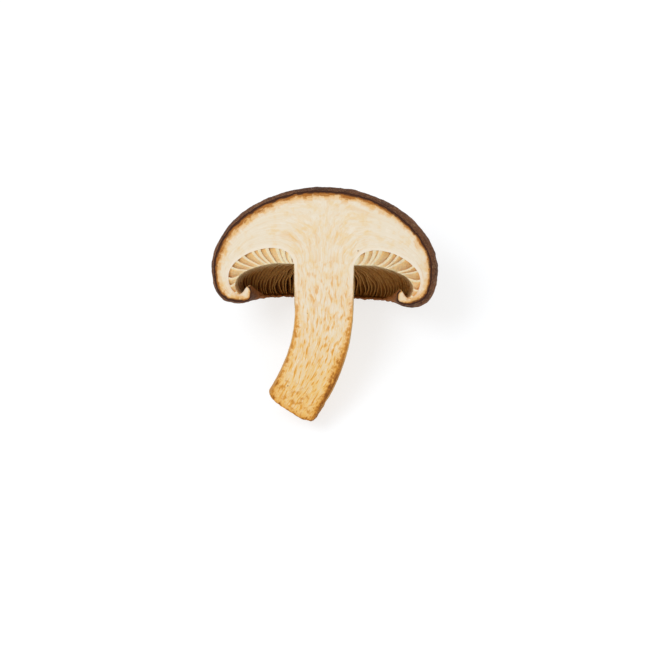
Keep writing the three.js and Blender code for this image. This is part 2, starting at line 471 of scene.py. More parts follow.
class Term:
    """A socket of a shader graph that takes part in Python arithmetic."""

    def __init__(self, graph: "Graph", socket: bpy.types.NodeSocket) -> None:
        """Wraps an output socket of a node in a graph."""
        self.graph = graph
        self.socket = socket

    def _math(self, operation: str, left: Any, right: Any = None) -> "Term":
        """Adds one Math node for an operation on one or two numbers."""
        given = [left] if right is None else [left, right]
        return self.graph.node("ShaderNodeMath", {"operation": operation}, dict(enumerate(given)))

    def __add__(self, other: Any) -> "Term":
        """Sum."""
        return self._math("ADD", self, other)

    def __radd__(self, other: Any) -> "Term":
        """Sum, reflected."""
        return self._math("ADD", other, self)

    def __sub__(self, other: Any) -> "Term":
        """Difference."""
        return self._math("SUBTRACT", self, other)

    def __rsub__(self, other: Any) -> "Term":
        """Difference, reflected."""
        return self._math("SUBTRACT", other, self)

    def __mul__(self, other: Any) -> "Term":
        """Product."""
        return self._math("MULTIPLY", self, other)

    def __rmul__(self, other: Any) -> "Term":
        """Product, reflected."""
        return self._math("MULTIPLY", other, self)

    def __truediv__(self, other: Any) -> "Term":
        """Quotient."""
        return self._math("DIVIDE", self, other)

    def __rtruediv__(self, other: Any) -> "Term":
        """Quotient, reflected."""
        return self._math("DIVIDE", other, self)

    def at_least(self, other: Any) -> "Term":
        """The larger of two numbers."""
        return self._math("MAXIMUM", self, other)

    def at_most(self, other: Any) -> "Term":
        """The smaller of two numbers."""
        return self._math("MINIMUM", self, other)

    def eased(self, low: Any, high: Any) -> "Term":
        """Eases from 0 to 1 while the number goes from low to high.

        Args:
            low: Number that gives 0.
            high: Number that gives 1; it may be the smaller of the two.

        Returns:
            The eased share.
        """
        settings = {"interpolation_type": "SMOOTHSTEP"}
        return self.graph.node("ShaderNodeMapRange", settings, {"Value": self, 1: low, 2: high})


class Graph:
    """The shader graph of one material."""

    def __init__(self, name: str) -> None:
        """Makes an empty material with one Principled shader."""
        self.material = bpy.data.materials.new(name)
        self.material.use_nodes = True
        self.tree = self.material.node_tree
        self.shader = self.tree.nodes["Principled BSDF"]

    def feed(self, socket: bpy.types.NodeSocket, value: Any) -> None:
        """Links a term to an input, or sets the input to a constant."""
        if isinstance(value, Term):
            self.tree.links.new(value.socket, socket)
        else:
            socket.default_value = value

    def node(self, kind: str, settings: dict[str, Any], inputs: dict[Any, Any], output: Any = 0) -> Term:
        """Adds any node.

        Args:
            kind: The node's type name.
            settings: Properties of the node, set before its inputs.
            inputs: Terms or constants by input name or number.
            output: Name or number of the output to return.

        Returns:
            The chosen output.
        """
        node = self.tree.nodes.new(kind)
        for name, value in settings.items():
            setattr(node, name, value)
        for name, value in inputs.items():
            self.feed(node.inputs[name], value)
        return Term(self, node.outputs[output])

    def number(self, name: str) -> Term:
        """Reads a number stored on the mesh."""
        return self.node("ShaderNodeAttribute", {"attribute_name": name}, {}, "Fac")

    def place(self, name: str) -> Term:
        """Reads a vector stored on the mesh."""
        return self.node("ShaderNodeAttribute", {"attribute_name": name}, {}, "Vector")

    def axes(self, vector: Term) -> tuple[Term, Term, Term]:
        """Splits a vector into its three numbers."""
        split = self.tree.nodes.new("ShaderNodeSeparateXYZ")
        self.feed(split.inputs[0], vector)
        return Term(self, split.outputs[0]), Term(self, split.outputs[1]), Term(self, split.outputs[2])

    def vector(self, x: Any, y: Any, z: Any) -> Term:
        """Joins three numbers into a vector."""
        return self.node("ShaderNodeCombineXYZ", {}, {0: x, 1: y, 2: z})

    def noise(self, where: Term, scale: float, detail: float = 3.0, roughness: float = 0.5) -> Term:
        """Smooth noise between 0 and 1, about 0.5 on average.

        Args:
            where: Vector to look the noise up at.
            scale: How many features there are in one unit of the vector.
            detail: How many finer octaves are added.
            roughness: How strong the finer octaves are.

        Returns:
            The noise.
        """
        given = {"Vector": where, "Scale": scale, "Detail": detail, "Roughness": roughness}
        return self.node("ShaderNodeTexNoise", {"noise_dimensions": "3D"}, given, 0)

    def cells(self, where: Term, scale: float) -> Term:
        """Distance to the nearest of many scattered points, 0 at a point."""
        given = {"Vector": where, "Scale": scale}
        return self.node("ShaderNodeTexVoronoi", {"feature": "F1"}, given, "Distance")

    def blend(self, share: Any, first: Any, second: Any) -> Term:
        """Mixes two colours.

        Args:
            share: 0 for the first colour, 1 for the second.
            first: Colour at share 0.
            second: Colour at share 1.

        Returns:
            The mixed colour.
        """
        settings = {"data_type": "RGBA", "blend_type": "MIX"}
        given = {MIX_SHARE: share, MIX_FIRST: first, MIX_SECOND: second}
        return self.node("ShaderNodeMix", settings, given, MIX_COLOUR)

    def raised(self, height: Term, by: float) -> Term:
        """The surface normal with a height pressed into it.

        Args:
            height: Height of the surface, from 0 to 1.
            by: Real height, in metres, that 1 stands for.

        Returns:
            The changed normal.
        """
        return self.node("ShaderNodeBump", {}, {"Strength": 1.0, "Distance": by, "Height": height})

    def finish(
        self, colour: Any, roughness: Any, normal: Term | None = None, glow: float = 0.0
    ) -> bpy.types.Material:
        """Feeds the shader and returns the material.

        Args:
            colour: Base colour.
            roughness: Roughness.
            normal: Changed normal, or None for the plain one.
            glow: Weight of the light that scatters below the surface.

        Returns:
            The finished material.
        """
        self.feed(self.shader.inputs["Base Color"], colour)
        self.feed(self.shader.inputs["Roughness"], roughness)
        self.shader.inputs["Specular IOR Level"].default_value = 0.2
        if normal is not None:
            self.feed(self.shader.inputs["Normal"], normal)
        if glow:
            self.shader.inputs["Subsurface Weight"].default_value = glow
            self.shader.inputs["Subsurface Radius"].default_value = (1.0, 0.55, 0.3)
            self.shader.inputs["Subsurface Scale"].default_value = 0.001
        return self.material


class Coat:
    """A colour that is built up in layers."""

    def __init__(self, graph: Graph, share: Any, first: str, second: str) -> None:
        """Starts with a mix of two colours, given as hexadecimal screen colours."""
        self.graph = graph
        self.colour = graph.blend(share, linear(first), linear(second))

    def over(self, share: Any, code: str) -> None:
        """Covers a share of what is there with a hexadecimal screen colour."""
        self.colour = self.graph.blend(share, self.colour, linear(code))


# --------------------------------------------------------------------------- finishes


class CutPatterns:
    """Places and patterns on the cut that several layers of its colour share."""

    def __init__(self, g: Graph) -> None:
        """Reads the numbers stored on the cut and makes the patterns from them."""
        self.x, self.y, _ = g.axes(g.place("upright"))
        self.skin_gap, self.bed_gap = g.number("skin_gap"), g.number("bed_gap")
        flow, along = g.number("flow"), g.number("along")
        self.flat = g.vector(self.x, self.y, 0.0)
        drift = g.noise(self.flat, 0.22, 2.0)
        self.mottle = g.noise(self.flat, 0.36, 5.0, 0.64)
        self.grit = g.noise(self.flat, 0.85, 4.0, 0.60)
        self.soft = g.noise(g.vector(flow * 6.0 + drift * 1.5, along * 0.10, 0.0), 2.4, 4.0, 0.62)
        self.fine = g.noise(g.vector(flow * 19.0 + drift * 2.0, along * 0.16, 4.0), 2.4, 3.0, 0.6)
        self.speckle = g.noise(g.vector(flow * 7.4 + drift, along * 0.22, 9.0), 1.9, 2.0, 0.5)
        self.streak = g.noise(g.vector(flow * 7.0 + drift * 1.5, along * 0.07, 5.0), 1.9, 3.0, 0.6)
        beside = g.node("ShaderNodeMath", {"operation": "ABSOLUTE"}, {0: self.x})
        self.core = self.y.eased(20.0, 8.0) * beside.eased(15.0, 5.0)
        self.low, self.deep = self.y.eased(4.0, -30.0), self.y.eased(-9.0, -33.0)


@dataclass(frozen=True)
class CutFlesh:
    """Freshly cut flesh: cream, finely fibrous, burnt orange under the skin and browner at the heel."""

    cream: str = "E6DAC4"
    tan: str = "E6C27C"
    fleck: str = "D8901E"
    pale: str = "EDE3D2"
    gold: str = "EBC070"
    amber: str = "E0A440"
    burnt: str = "A25E10"
    bark: str = "683608"
    skin_line: str = "35170A"
    dot: str = "8A5A2A"

    def fibres(self, at: CutPatterns, coat: Coat) -> None:
        """Adds pale and tan clouds and fibres that bend from the stem into the cap.

        Args:
            at: Patterns of the cut.
            coat: Colour to add to.
        """
        coat.over(at.mottle.eased(0.48, 0.66) * 0.42, self.tan)
        coat.over(at.mottle.eased(0.44, 0.32) * 0.55, self.pale)
        coat.over(at.soft.eased(0.48, 0.66) * (0.12 + at.core * 0.30 - at.low * 0.1), self.tan)
        coat.over(at.fine.eased(0.47, 0.34) * 0.42, self.pale)
        coat.over(at.fine.eased(0.54, 0.68) * (0.12 + at.core * 0.10 + at.low * 0.1), self.amber)

    def flecks(self, at: CutPatterns, coat: Coat) -> None:
        """Adds golden streaks above the stem and flecks down the stem, each with a paler halo.

        Args:
            at: Patterns of the cut.
            coat: Colour to add to.
        """
        coat.over(at.streak.eased(0.52, 0.68) * at.core * 0.40, self.amber)
        coat.over(at.speckle.eased(0.45, 0.58) * (at.core * 0.2 + at.low * 0.65), self.gold)
        strength = at.y.eased(10.0, -6.0) * 0.45 + at.low * 0.45
        coat.over((at.speckle.eased(0.55, 0.68) * strength).at_most(0.8), self.fleck)

    def stem_edges(self, at: CutPatterns, coat: Coat) -> None:
        """Adds the pale rim of the hollows, the brown heel and the browned sides of the stem, with painted
        shade widening the brown band on the lower right side.

        Args:
            at: Patterns of the cut.
            coat: Colour to add to.
        """
        coat.over(at.bed_gap.eased(1.1, 0.3) * at.y.eased(-12.0, -6.0) * 0.65, self.pale)
        down_stem = at.x * -0.55 - at.y * 0.84
        heel = (down_stem + (at.grit - 0.5) * 9.0).eased(25.5, 30.5)
        coat.over(heel * 0.2, self.gold)
        coat.over(heel * at.grit.eased(0.42, 0.64) * 0.75, self.fleck)
        coat.over(heel * at.grit.eased(0.54, 0.64) * 0.3, self.burnt)

        # Painted shade: the brown band along the stem's edges is widened on the lower right side, the side
        # turned away from the light.
        painted_shade_right_low = at.y.eased(-10.0, -27.0) * at.x.eased(-4.0, 2.0)
        edge_browning_and_shade = at.bed_gap + (at.grit - 0.5) * 4.0 + (at.speckle - 0.5) * 2.5 - painted_shade_right_low * 1.1
        on_stem = at.y.eased(-1.0, -12.0)
        coat.over(edge_browning_and_shade.eased(2.0, 0.6) * on_stem * 0.45, self.gold)
        coat.over(edge_browning_and_shade.eased(1.1, 0.0) * on_stem * 0.8, self.fleck)
        coat.over(edge_browning_and_shade.eased(0.7, -0.5) * at.low * 0.8, self.burnt)
        coat.over(edge_browning_and_shade.eased(0.1, -1.3) * at.deep * 0.8, self.bark)

    def under_skin(self, g: Graph, at: CutPatterns, coat: Coat) -> None:
        """Adds the burnt orange band under the skin and the dark line of the skin itself.

        Args:
            g: Graph of the material.
            at: Patterns of the cut.
            coat: Colour to add to.
        """
        outline = g.number("outline")
        left, top = at.x.eased(14.0, -12.0), at.y.eased(9.0, 17.0)
        patch = at.y.eased(20.0, 13.0) * at.y.eased(-2.0, 5.0) * at.x.eased(-11.0, -16.0)
        tip = g.number("edge_to_lip").eased(9.0, 3.0)
        streaks = g.noise(g.vector(at.skin_gap * 1.3, outline * 0.5, 0.0), 1.0, 5.0, 0.68)
        broad = g.noise(g.vector(outline * 0.3, 3.0, 0.0), 1.0, 3.0, 0.6)
        width = 0.35 + top * 0.16 + left * 0.02 + patch * 0.18 - tip * 0.18
        width = width * (broad * 2.2 - 0.1).at_least(0.2)
        reach = at.skin_gap / width - (streaks - 0.5) * 6.0
        coat.over(reach.eased(5.2, 2.0) * 0.72, self.amber)
        coat.over(reach.eased(2.9, 1.3) * 0.92, self.burnt)
        line = (at.skin_gap + (streaks - 0.5) * 1.5) * (1.0 + tip * 0.9)
        coat.over(line.eased(0.75, 0.35) * 0.92, self.skin_line)
        coat.over(at.skin_gap.eased(0.34, 0.16) * 0.9, self.skin_line)

    def material(self) -> bpy.types.Material:
        """Builds the material."""
        g = Graph("cut_flesh")
        at = CutPatterns(g)
        coat = Coat(g, at.deep * 0.78, self.cream, self.tan)
        self.fibres(at, coat)
        self.flecks(at, coat)
        self.stem_edges(at, coat)
        self.under_skin(g, at, coat)
        coat.over(g.cells(at.flat, 0.24).eased(0.06, 0.03) * 0.7, self.dot)
        height = at.soft * 0.5 + at.fine * 0.5
        return g.finish(coat.colour, 0.62, g.raised(height, 0.00010))


@dataclass(frozen=True)
class CapSkin:
    """Dark skin of the cap: brown, with radial fibrils and faint paler scales."""

    dark: str = "52301B"
    brown: str = "784C2D"
    rusty: str = "925A32"
    scale: str = "B08C64"
    black: str = "1E0E07"
    lip: str = "9A5E28"

    def material(self) -> bpy.types.Material:
        """Builds the material."""
        g = Graph("cap_skin")
        where = g.place("upright")
        around, down, lip = g.number("around"), g.number("down"), g.number("to_lip")
        cloud = g.noise(where, 0.16, 3.0, 0.55)
        fibre = g.noise(g.vector(around * 2.6, down * 0.42, 0.0), 1.0, 5.0, 0.66)
        grain = g.noise(where, 1.9, 4.0, 0.62)
        coat = Coat(g, cloud.eased(0.35, 0.68), self.dark, self.brown)
        coat.over(fibre.eased(0.48, 0.66) * 0.7, self.rusty)
        coat.over(grain.eased(0.50, 0.32) * 0.55, self.black)
        scales = g.cells(g.vector(around * 0.42, down * 0.42, 0.0), 1.0)
        edge = scales.eased(0.42, 0.16) * grain.eased(0.42, 0.62) * down.eased(4.0, 20.0)
        coat.over(edge * 0.42, self.scale)
        coat.over(g.noise(where, 3.0, 2.0, 0.5).eased(0.58, 0.70) * 0.5, self.scale)
        coat.over((grain * 1.4 + lip).eased(4.4, 1.4) * 0.85, self.lip)
        height = fibre * 0.45 + grain * 0.55
        return g.finish(coat.colour, 0.78, g.raised(height, 0.0009))


@dataclass(frozen=True)
class StemSkin:
    """Skin of the stem: tan, streaked lengthwise, browner towards the heel."""

    pale: str = "DFBC84"
    tan: str = "C48C44"
    brown: str = "8E5414"
    deep: str = "5E330C"

    def material(self) -> bpy.types.Material:
        """Builds the material."""
        g = Graph("stem_skin")
        where = g.place("upright")
        _, y, _ = g.axes(where)
        around, down = g.number("around"), g.number("down")
        grain = g.noise(where, 0.9, 5.0, 0.6)
        fibre = g.noise(g.vector(around * 1.9 + grain, down * 0.2, 3.0), 1.0, 4.0, 0.62)
        low = (y + grain * 9.0).eased(-6.0, -26.0)
        heel = (y + grain * 3.0).eased(-29.0, -32.0)
        fibre = fibre * (1.0 - heel) + grain * heel
        coat = Coat(g, low, self.pale, self.tan)
        coat.over(fibre.eased(0.48, 0.68) * (0.22 + low * 0.45), self.brown)
        coat.over(heel * 0.6, self.brown)
        coat.over(grain.eased(0.44, 0.30) * (0.20 + low * 0.30), self.deep)
        height = fibre * 0.6 + grain * 0.4
        return g.finish(coat.colour, 0.75, g.raised(height, 0.0006), 0.05)


@dataclass(frozen=True)
class Gilled:
    """Gills and the bed they grow from: tan faces darkened towards the roots by painted shade, pale free
    edges with a painted highlight, and painted brown shade in the depth of the hollow.
    """

    # Painted highlight: the pale colour of the gills' free edges.
    edge: str = "E6CFA2"
    face: str = "ECC490"
    # Painted shade towards the roots of the gills and on the bed between them.
    recess: str = "EBB876"
    # Painted shade of the hollow behind the cut: dark brown, lighter towards the right, and a darker tone
    # for the free edges there.
    depth: str = "7A4410"
    olive: str = "925A1C"
    far_edge: str = "AC7A3C"
    cut: str = "ECD9B4"

    def material(self, name: str = "gills") -> bpy.types.Material:
        """Builds the material."""
        g = Graph(name)
        where = g.place("upright")
        x, _, z = g.axes(where)
        out = g.number("out")
        grain = g.noise(where, 1.1, 3.0, 0.55)
        # Painted shade: the colour turns brown with depth behind the cut, where the hollow lies in shadow.
        behind = (z + grain * 2.5 - 1.2).eased(-1.6, -6.5)
        # Painted shade: darker towards the roots of the gills.
        colour = g.blend(out.eased(0.7, 0.12), linear(self.face), linear(self.recess))
        far = g.blend(x.eased(-4.0, 6.0), linear(self.depth), linear(self.olive))
        colour = g.blend(behind, colour, far)
        # Painted highlight on the free edges, which itself gets painted shade deep in the hollow.
        tip = g.blend(behind, linear(self.edge), linear(self.far_edge))
        colour = g.blend(out.eased(0.86, 0.98) * 0.9, colour, tip)
        colour = g.blend(z.eased(-0.16, -0.05), colour, linear(self.cut))
        return g.finish(colour, 0.85, g.raised(grain, 0.0003), 0.2)


# --------------------------------------------------------------------------- the body


class Region(Enum):
    """Parts of the body's surface, numbered as its material slots."""

    CUT = 0
    SKIN = 1
    UNDER = 2
    STEM = 3


@dataclass(frozen=True)
class Patch:
    """A rectangle of the texture that one region is laid out in."""

    left: float
    bottom: float
    right: float
    top: float

    def fill(self, across: np.ndarray, upward: np.ndarray) -> np.ndarray:
        """Lays shares of the rectangle's width and height out in the texture.

        Args:
            across: Shares of the width.
            upward: Shares of the height.

        Returns:
            Texture places, as rows.
        """
        u = self.left + (self.right - self.left) * np.clip(across, 0.0, 1.0)
        v = self.bottom + (self.top - self.bottom) * np.clip(upward, 0.0, 1.0)
        return np.stack([u, v], axis=1)


@dataclass(frozen=True)
class Span:
    """A stretch of some measure that fills the width or the height of a patch."""

    start: float
    length: float

    def share(self, values: np.ndarray) -> np.ndarray:
        """How far along the stretch each value is, from 0 to 1."""
        return (values - self.start) / self.length


@dataclass
class Faces:
    """Faces of a mesh as flat arrays."""

    piece: bpy.types.Object
    start: np.ndarray = field(init=False)
    corners: np.ndarray = field(init=False)
    owner: np.ndarray = field(init=False)

    def __post_init__(self) -> None:
        """Reads the faces."""
        mesh = self.piece.data
        self.start = np.empty(len(mesh.polygons), np.int32)
        total = np.empty(len(mesh.polygons), np.int32)
        self.corners = np.empty(len(mesh.loops), np.int32)
        mesh.polygons.foreach_get("loop_start", self.start)
        mesh.polygons.foreach_get("loop_total", total)
        mesh.loops.foreach_get("vertex_index", self.corners)
        self.owner = np.repeat(np.arange(len(total)), total)

    def all_of(self, flags: np.ndarray) -> np.ndarray:
        """Tells for each face whether all its vertices are flagged."""
        return np.logical_and.reduceat(flags[self.corners], self.start)

    def most(self, numbers: np.ndarray) -> np.ndarray:
        """The middle value of a number at each face's first three corners."""
        trio = np.stack([numbers[self.corners[self.start + i]] for i in range(3)])
        return np.median(trio, axis=0).astype(int)

    def rim(self, inside: np.ndarray) -> np.ndarray:
        """Vertices that belong both to flagged faces and to others."""
        flagged = inside[self.owner]
        return np.intersect1d(self.corners[flagged], self.corners[~flagged])


@dataclass
class Surface:
    """What was measured on the smooth surface before it was weathered, and where it ended up."""

    places: np.ndarray
    numbers: dict[str, np.ndarray]

    def at(self, points: np.ndarray) -> dict[str, np.ndarray]:
        """Looks the numbers up for points on the weathered surface."""
        _, nearest = nearest_on(self.places, points)
        return {name: values[nearest] for name, values in self.numbers.items()}


@dataclass
class HalfBody:
    """Cap and stem as one body of flesh and skin, halved through the middle of the stem."""

    cap: CapShape = CapShape()
    stem: StemShape = StemShape()
    drawn: DrawnEdge = DrawnEdge()
    around: int = 132
    round_stem: int = 64
    ring_step: int = 10
    heel_rings: int = 8
    heel_squareness: float = 0.75
    voxel: float = 0.33
    uneven: tuple[Lumps, ...] = (Lumps(0.10, 7.0), Lumps(0.095, 1.9, 11.0), Lumps(0.06, 0.8, 23.0))
    off_skin: float = 0.4
    torn_rim: Lumps = Lumps(0.34, 1.1, 37.0)
    rough_heel: Lumps = Lumps(0.16, 1.2, 51.0)
    kept_front: float = 1.5
    block_side: float = 62.0
    block_middle: float = -7.0
    block_depth: float = 42.0
    face_step: float = 0.34
    stem_reach: float = 8.3
    stem_overlap: float = 0.6
    past_heel: float = 8.0
    corner_at: float = 42.4
    corner_length: float = 6.5
    painted: tuple[str, ...] = (
        "skin_gap", "bed_gap", "flow", "along", "outline", "edge_to_lip", "around", "down", "to_lip",
    )
    layouts: dict[Region, Patch] = field(
        default_factory=lambda: {
            Region.CUT: Patch(0.01, 0.385, 0.61, 0.99),
            Region.SKIN: Patch(0.01, 0.01, 0.99, 0.375),
            Region.STEM: Patch(0.625, 0.385, 0.80, 0.99),
            Region.UNDER: Patch(0.815, 0.385, 0.99, 0.99),
        }
    )

    def cap_surface(self) -> bpy.types.Object:
        """Wraps a grid round the stem's middle as the closed surface of the whole cap."""
        azimuths = np.linspace(-math.pi, math.pi, self.around + 1)
        table = np.stack([self.cap.section(a) for a in azimuths])

        def place(row: np.ndarray, column: np.ndarray) -> np.ndarray:
            """Puts each vertex on the section at its azimuth."""
            out, up = table[column, row].T
            angle = azimuths[column]
            points = np.stack([out * np.cos(angle), up, -out * np.sin(angle)], axis=1)
            return self.cap.lean(points)

        return wrapped_grid("cap", table.shape[1] - 1, self.around, place)

    def stem_surface(self) -> bpy.types.Object:
        """Wraps a grid round the stem's line as its closed surface."""
        line = self.stem.line()
        ahead = np.gradient(line, axis=0)
        ahead[:, 2] = 0.0
        ahead /= np.linalg.norm(ahead, axis=1)[:, None]
        side = np.stack([-ahead[:, 1], ahead[:, 0], 0 * ahead[:, 0]], axis=1)
        share = arc_lengths(line) / arc_lengths(line)[-1]
        radius = self.stem.radius(share)
        last = len(line) - 1
        rings = [(0, 0.0, 0.0)] + [(i, 1.0, 0.0) for i in range(0, last + 1, self.ring_step)]
        dome = self.stem.heel_dome
        turns = np.linspace(0.0, math.pi / 2, self.heel_rings + 1)[1:]
        rings += [(last, math.cos(a) ** self.heel_squareness, dome * math.sin(a)) for a in turns]
        index = np.array([r[0] for r in rings])
        wide = np.array([r[1] for r in rings]) * radius[index]
        middle = line[index] + ahead[index] * np.array([r[2] for r in rings])[:, None]

        def place(row: np.ndarray, column: np.ndarray) -> np.ndarray:
            """Puts each vertex on the ring it belongs to."""
            angle = column / self.round_stem * 2 * math.pi
            out = side[index[row]] * (wide[row] * np.cos(angle))[:, None]
            out[:, 2] += wide[row] * np.sin(angle)
            return middle[row] + out

        return wrapped_grid("stem", len(rings) - 1, self.round_stem, place)

    def fused(self) -> bpy.types.Object:
        """Joins cap and stem into one even mesh without a seam."""
        stem = self.stem_surface()
        cap = self.cap_surface()
        only(cap)
        stem.select_set(True)
        bpy.ops.object.join()
        cap.name = "mushroom_body"
        cap.data.remesh_voxel_size = self.voxel
        bpy.ops.object.voxel_remesh()
        bpy.ops.object.mode_set(mode="EDIT")
        bpy.ops.mesh.select_all(action="SELECT")
        bpy.ops.mesh.vertices_smooth(factor=0.5, repeat=3)
        bpy.ops.object.mode_set(mode="OBJECT")
        return cap

    def weather(self, piece: bpy.types.Object) -> Surface:
        """Presses the unevenness of grown skin into the surface, never outwards.

        Args:
            piece: The fused body.

        Returns:
            What was measured on the surface, with its places after the change.
        """
        points = coordinates(piece)
        flat = np.empty(len(points) * 3, np.float32)
        piece.data.vertices.foreach_get("normal", flat)
        normals = flat.reshape(-1, 3)
        near = np.flatnonzero(points[:, 2] < self.kept_front)
        p, n = points[near], normals[near]
        back = smoothstep(p[:, 2], -6.0, -14.0) * smoothstep(p[:, 1], -4.0, -6.5)
        back *= smoothstep(np.hypot(p[:, 0], p[:, 2]), 12.0, 15.0)
        heel = smoothstep(p[:, 1], -30.0, -33.0)
        local = self.torn_rim.pressed(p) * back + self.rough_heel.pressed(p) * heel
        numbers = self.survey(p)
        region, to_lip = numbers["region"], numbers["to_lip"]
        on_stem = region == Region.STEM.value
        on_skin = (region == Region.SKIN.value) * smoothstep(to_lip, 1.0, 11.0)
        drawn = self.drawn.amount(p, on_stem, on_skin)
        everywhere = sum(layer.pressed(p) for layer in self.uneven)
        uneven = everywhere * np.where(region == Region.SKIN.value, 1.0, self.off_skin)
        points[near] = p - n * (uneven + local + drawn)[:, None]
        move_to(piece, points)
        return Surface(points[near], numbers)

    def half_space(self) -> bpy.types.Object:
        """A block behind the cut whose front face is finely divided."""
        deselect_all()
        steps = round(self.block_side / self.face_step)
        middle = (0.0, self.block_middle, 0.0)
        bpy.ops.mesh.primitive_grid_add(
            x_subdivisions=steps, y_subdivisions=steps, size=self.block_side, location=middle
        )
        block = bpy.context.object
        bpy.ops.object.transform_apply(location=True, rotation=False, scale=False)
        bpy.ops.object.mode_set(mode="EDIT")
        bpy.ops.mesh.select_all(action="SELECT")
        bpy.ops.mesh.region_to_loop()
        backwards = {"value": (0.0, 0.0, -self.block_depth)}
        bpy.ops.mesh.extrude_edges_move(TRANSFORM_OT_translate=backwards)
        bpy.ops.mesh.edge_face_add()
        bpy.ops.mesh.select_all(action="SELECT")
        bpy.ops.mesh.normals_make_consistent(inside=False)
        bpy.ops.object.mode_set(mode="OBJECT")
        return block

    def halve(self, piece: bpy.types.Object) -> None:
        """Keeps the half behind the cut and closes it with the block's divided face."""
        block = self.half_space()
        only(piece)
        cutter = piece.modifiers.new("cut", "BOOLEAN")
        cutter.operation = "INTERSECT"
        cutter.solver = "MANIFOLD"
        cutter.object = block
        bpy.ops.object.modifier_apply(modifier=cutter.name)
        only(block)
        bpy.ops.object.delete()
        only(piece)
        bpy.ops.object.mode_set(mode="EDIT")
        bpy.ops.mesh.select_all(action="SELECT")
        bpy.ops.mesh.remove_doubles(threshold=0.03)
        bpy.ops.object.mode_set(mode="OBJECT")

    def axis_place(self, points: np.ndarray) -> tuple[np.ndarray, np.ndarray, np.ndarray]:
        """Measures points from the line through the middle of the stem.

        Args:
            points: Rows of x, y and z.

        Returns:
            Distance from the line, distance along it and the angle round it, 0 at the back.
        """
        line = self.stem.line()
        gap, index = nearest_on(line, points)
        off = points - line[index]
        return gap, arc_lengths(line)[index], np.arctan2(off[:, 0], -off[:, 2])

    def cap_place(self, points: np.ndarray) -> tuple[np.ndarray, np.ndarray, np.ndarray]:
        """Measures points along the cap's section at their azimuth.

        Args:
            points: Rows of x, y and z, straightened.

        Returns:
            Azimuth, distance along the section from the crown, and number of the curve.
        """
        azimuth = np.arctan2(-points[:, 2], points[:, 0])
        azimuth = np.where(azimuth < -math.pi / 2, azimuth + 2 * math.pi, azimuth)
        flat = np.stack([np.hypot(points[:, 0], points[:, 2]), points[:, 1]], axis=1)
        bins = 60
        step = math.pi / bins
        at = np.clip(azimuth / step, 0.0, bins - 1e-6)
        low = at.astype(int)
        ends = np.cumsum(self.cap.samples)
        down = np.zeros(len(points))
        curve = np.zeros(len(points), int)
        for k in range(bins):
            chosen = np.flatnonzero(low == k)
            if not len(chosen):
                continue
            for section, weight in ((k, 1 - (at[chosen] - k)), (k + 1, at[chosen] - k)):
                line = self.cap.section(section * step)
                _, index = nearest_on(line, flat[chosen])
                down[chosen] += arc_lengths(line)[index] * weight
                if section == k:
                    curve[chosen] = np.searchsorted(ends, index, side="left")
        return azimuth, down, curve

    def survey(self, points: np.ndarray) -> dict[str, np.ndarray]:
        """Measures points of the smooth surface.

        Args:
            points: Rows of x, y and z.

        Returns:
            By name, for each point: its region, the azimuth and the distance down the cap's section,
            how far it is from where the skin ends on the lip, and its place round and down the stem.
        """
        gap, length, turn = self.axis_place(points)
        azimuth, down, curve = self.cap_place(self.cap.lean(points, undo=True))
        ends = [arc_lengths(self.cap.section(a, 0, self.cap.skin_curves))[-1] for a in (0.0, math.pi / 2)]
        lip_at = ends[0] + (ends[1] - ends[0]) * smoothstep(np.sin(azimuth), 0.14, 0.74)
        stem_top = self.cap.bed_rise - self.cap.stem_fillet + self.stem_overlap
        is_stem = (gap < self.stem_reach) & (points[:, 1] < stem_top)
        region = np.where(curve < self.cap.skin_curves, Region.SKIN.value, Region.UNDER.value)
        region = np.where(is_stem, Region.STEM.value, region)
        stem_down = length + np.maximum(0.0, self.stem.heel_radius - gap) * (length > 30)
        return {
            "region": region,
            "azimuth": azimuth,
            "cap_down": down,
            "to_lip": np.where(is_stem, 20.0, np.maximum(lip_at - down, 0.0)),
            "turn": turn,
            "stem_down": stem_down,
            "around": np.where(is_stem, turn * self.stem.top_radius, azimuth * 16.0),
            "down": np.where(is_stem, stem_down, down),
        }

    def side_line(self, right: bool) -> np.ndarray:
        """The hollow's side of the cut, from the heel up the stem and round to the margin."""
        line = self.stem.line(self.past_heel)
        half = math.sqrt(self.stem.top_radius**2 - self.stem.behind_cut**2)
        keep = line[:, 1] < self.cap.bed_rise - self.cap.stem_fillet
        stem = line[keep][::-1, :2] + np.array([half if right else -half, 0.0])
        section = self.cap.section(0.0 if right else math.pi, 4, 8)[::-1]
        section = section[section[:, 0] >= half]
        turned = section * np.array([1.0 if right else -1.0, 1.0])
        upper = self.cap.lean(np.column_stack([turned, np.zeros(len(turned))]))[:, :2]
        whole = np.concatenate([stem, upper])
        length = arc_lengths(whole)
        even = np.arange(0.0, length[-1], 0.1)
        return np.stack([np.interp(even, length, whole[:, i]) for i in range(2)], axis=1)

    def measure(
        self, piece: bpy.types.Object, surface: Surface
    ) -> tuple[Faces, np.ndarray, dict[str, np.ndarray]]:
        """Sorts the faces into regions and measures what the finishes need.

        Args:
            piece: The halved body.
            surface: What was measured before it was weathered.

        Returns:
            The faces, each face's region, and numbers by name for every vertex.
        """
        points = coordinates(piece)
        faces = Faces(piece)
        on_cut = np.abs(points[:, 2]) < 2e-3
        cut_faces = faces.all_of(on_cut)
        numbers = surface.at(points)
        region = numbers["region"]
        by_face = np.where(cut_faces, Region.CUT.value, faces.most(region))

